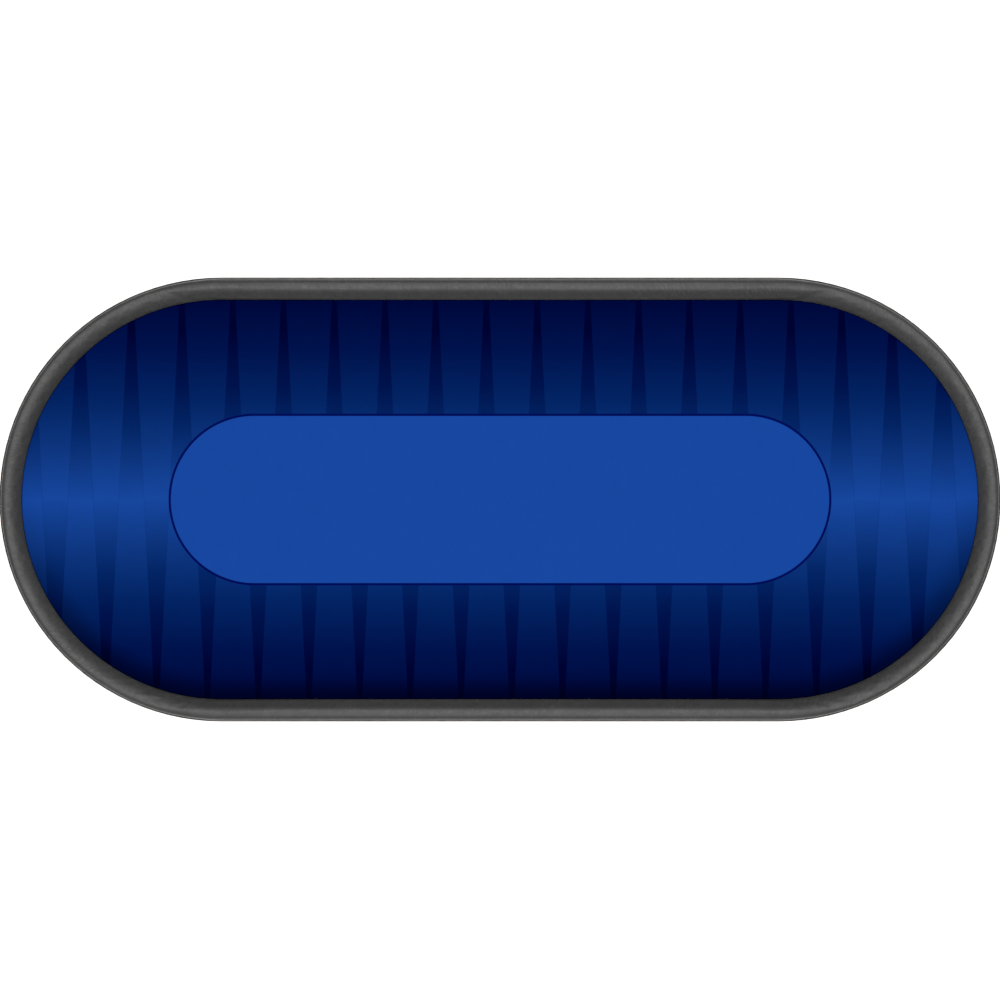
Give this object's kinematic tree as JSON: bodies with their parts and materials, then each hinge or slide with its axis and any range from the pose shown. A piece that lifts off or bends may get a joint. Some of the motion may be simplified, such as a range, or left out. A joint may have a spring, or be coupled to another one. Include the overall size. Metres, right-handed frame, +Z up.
{
  "type": "card game table",
  "caption": "Oval racetrack card table: padded vinyl rail round a blue printed cloth playfield, on folding tube legs with locking braces.",
  "frame": {"origin": "on the floor, under the middle of the table", "axes": "+X along the table's length, +Y across it, +Z up"},
  "size_m": [2.44, 1.082, 0.762],
  "materials": {
    "rail_vinyl": "satin",
    "playing_cloth": "matte",
    "foam": "matte",
    "plywood": "matte",
    "edge_plastic": "satin",
    "painted_wood": "satin",
    "solid_wood": "matte",
    "black_steel": "satin",
    "zinc_steel": "satin",
    "nylon": "satin",
    "foot_rubber": "matte"
  },
  "bodies": {
    "table_top": {"deck_board": "plywood", "deck_edge_band": "edge_plastic", "playfield_board": "plywood", "playfield_foam": "foam", "playfield_cloth": "playing_cloth", "playfield_screws": "zinc_steel", "rail_board": "plywood", "rail_foam": "foam", "rail_cover": "rail_vinyl", "rail_bolts": "zinc_steel", "rail_bolt_washers": "zinc_steel", "rail_insert_nuts": "zinc_steel", "apron_front": "painted_wood", "apron_rear": "painted_wood", "apron_left": "painted_wood", "apron_right": "painted_wood", "apron_corner_blocks": "solid_wood", "apron_brackets": "zinc_steel", "apron_bracket_screws": "zinc_steel", "left_hinge_pads": "nylon", "left_hinge_saddles": "zinc_steel", "left_hinge_screws": "zinc_steel", "left_leg_clips": "zinc_steel", "left_leg_clip_screws": "zinc_steel", "left_brace_brackets": "zinc_steel", "left_brace_bracket_screws": "zinc_steel", "left_brace_deck_rivets": "zinc_steel", "right_hinge_pads": "nylon", "right_hinge_saddles": "zinc_steel", "right_hinge_screws": "zinc_steel", "right_leg_clips": "zinc_steel", "right_leg_clip_screws": "zinc_steel", "right_brace_brackets": "zinc_steel", "right_brace_bracket_screws": "zinc_steel", "right_brace_deck_rivets": "zinc_steel"},
    "left_leg": {"left_leg_tube": "black_steel", "left_leg_crossbar": "black_steel", "left_leg_feet": "foot_rubber", "left_brace_leg_bosses": "black_steel"},
    "left_brace_upper": {"left_brace_upper_links": "black_steel", "left_knee_rivets": "zinc_steel"},
    "left_brace_lower": {"left_brace_lower_links": "black_steel", "left_brace_lower_rivets": "zinc_steel"},
    "left_lock_ring": {"left_lock_rings": "zinc_steel"},
    "right_leg": {"right_leg_tube": "black_steel", "right_leg_crossbar": "black_steel", "right_leg_feet": "foot_rubber", "right_brace_leg_bosses": "black_steel"},
    "right_brace_upper": {"right_brace_upper_links": "black_steel", "right_knee_rivets": "zinc_steel"},
    "right_brace_lower": {"right_brace_lower_links": "black_steel", "right_brace_lower_rivets": "zinc_steel"},
    "right_lock_ring": {"right_lock_rings": "zinc_steel"}
  },
  "joints": [
    {"name": "left_leg_fold", "type": "hinge", "parent": "table_top", "child": "left_leg", "pos_m": [-0.8, 0, 0.68], "axis": [0, -1, 0], "range_deg": [0, 90]},
    {"name": "left_brace_upper_fold", "type": "hinge", "parent": "table_top", "child": "left_brace_upper", "pos_m": [-0.4, 0, 0.68], "axis": [0, 1, 0], "range_deg": [0, 35]},
    {"name": "left_brace_knee", "type": "hinge", "parent": "left_brace_upper", "child": "left_brace_lower", "pos_m": [-0.64915, 0, 0.50559], "axis": [0, -1, 0], "range_deg": [0, 180]},
    {"name": "left_lock_ring_slide", "type": "slide", "parent": "left_brace_upper", "child": "left_lock_ring", "axis": [0.8192, 0, 0.5735], "range_m": [0, 0.195]},
    {"name": "right_leg_fold", "type": "hinge", "parent": "table_top", "child": "right_leg", "pos_m": [0.8, 0, 0.68], "axis": [0, 1, 0], "range_deg": [0, 90]},
    {"name": "right_brace_upper_fold", "type": "hinge", "parent": "table_top", "child": "right_brace_upper", "pos_m": [0.4, 0, 0.68], "axis": [0, -1, 0], "range_deg": [0, 35]},
    {"name": "right_brace_knee", "type": "hinge", "parent": "right_brace_upper", "child": "right_brace_lower", "pos_m": [0.64915, 0, 0.50559], "axis": [0, 1, 0], "range_deg": [0, 180]},
    {"name": "right_lock_ring_slide", "type": "slide", "parent": "right_brace_upper", "child": "right_lock_ring", "axis": [-0.8192, 0, 0.5735], "range_m": [0, 0.195]}
  ],
  "couplings": [
    {"joint": "left_brace_upper_fold", "follows": "left_leg_fold", "ratio": 0.3888},
    {"joint": "left_brace_knee", "follows": "left_leg_fold", "ratio": 2},
    {"joint": "left_lock_ring_slide", "follows": "left_leg_fold", "m_per_rad": 0.12414},
    {"joint": "right_brace_upper_fold", "follows": "right_leg_fold", "ratio": 0.3888},
    {"joint": "right_brace_knee", "follows": "right_leg_fold", "ratio": 2},
    {"joint": "right_lock_ring_slide", "follows": "right_leg_fold", "m_per_rad": 0.12414}
  ]
}
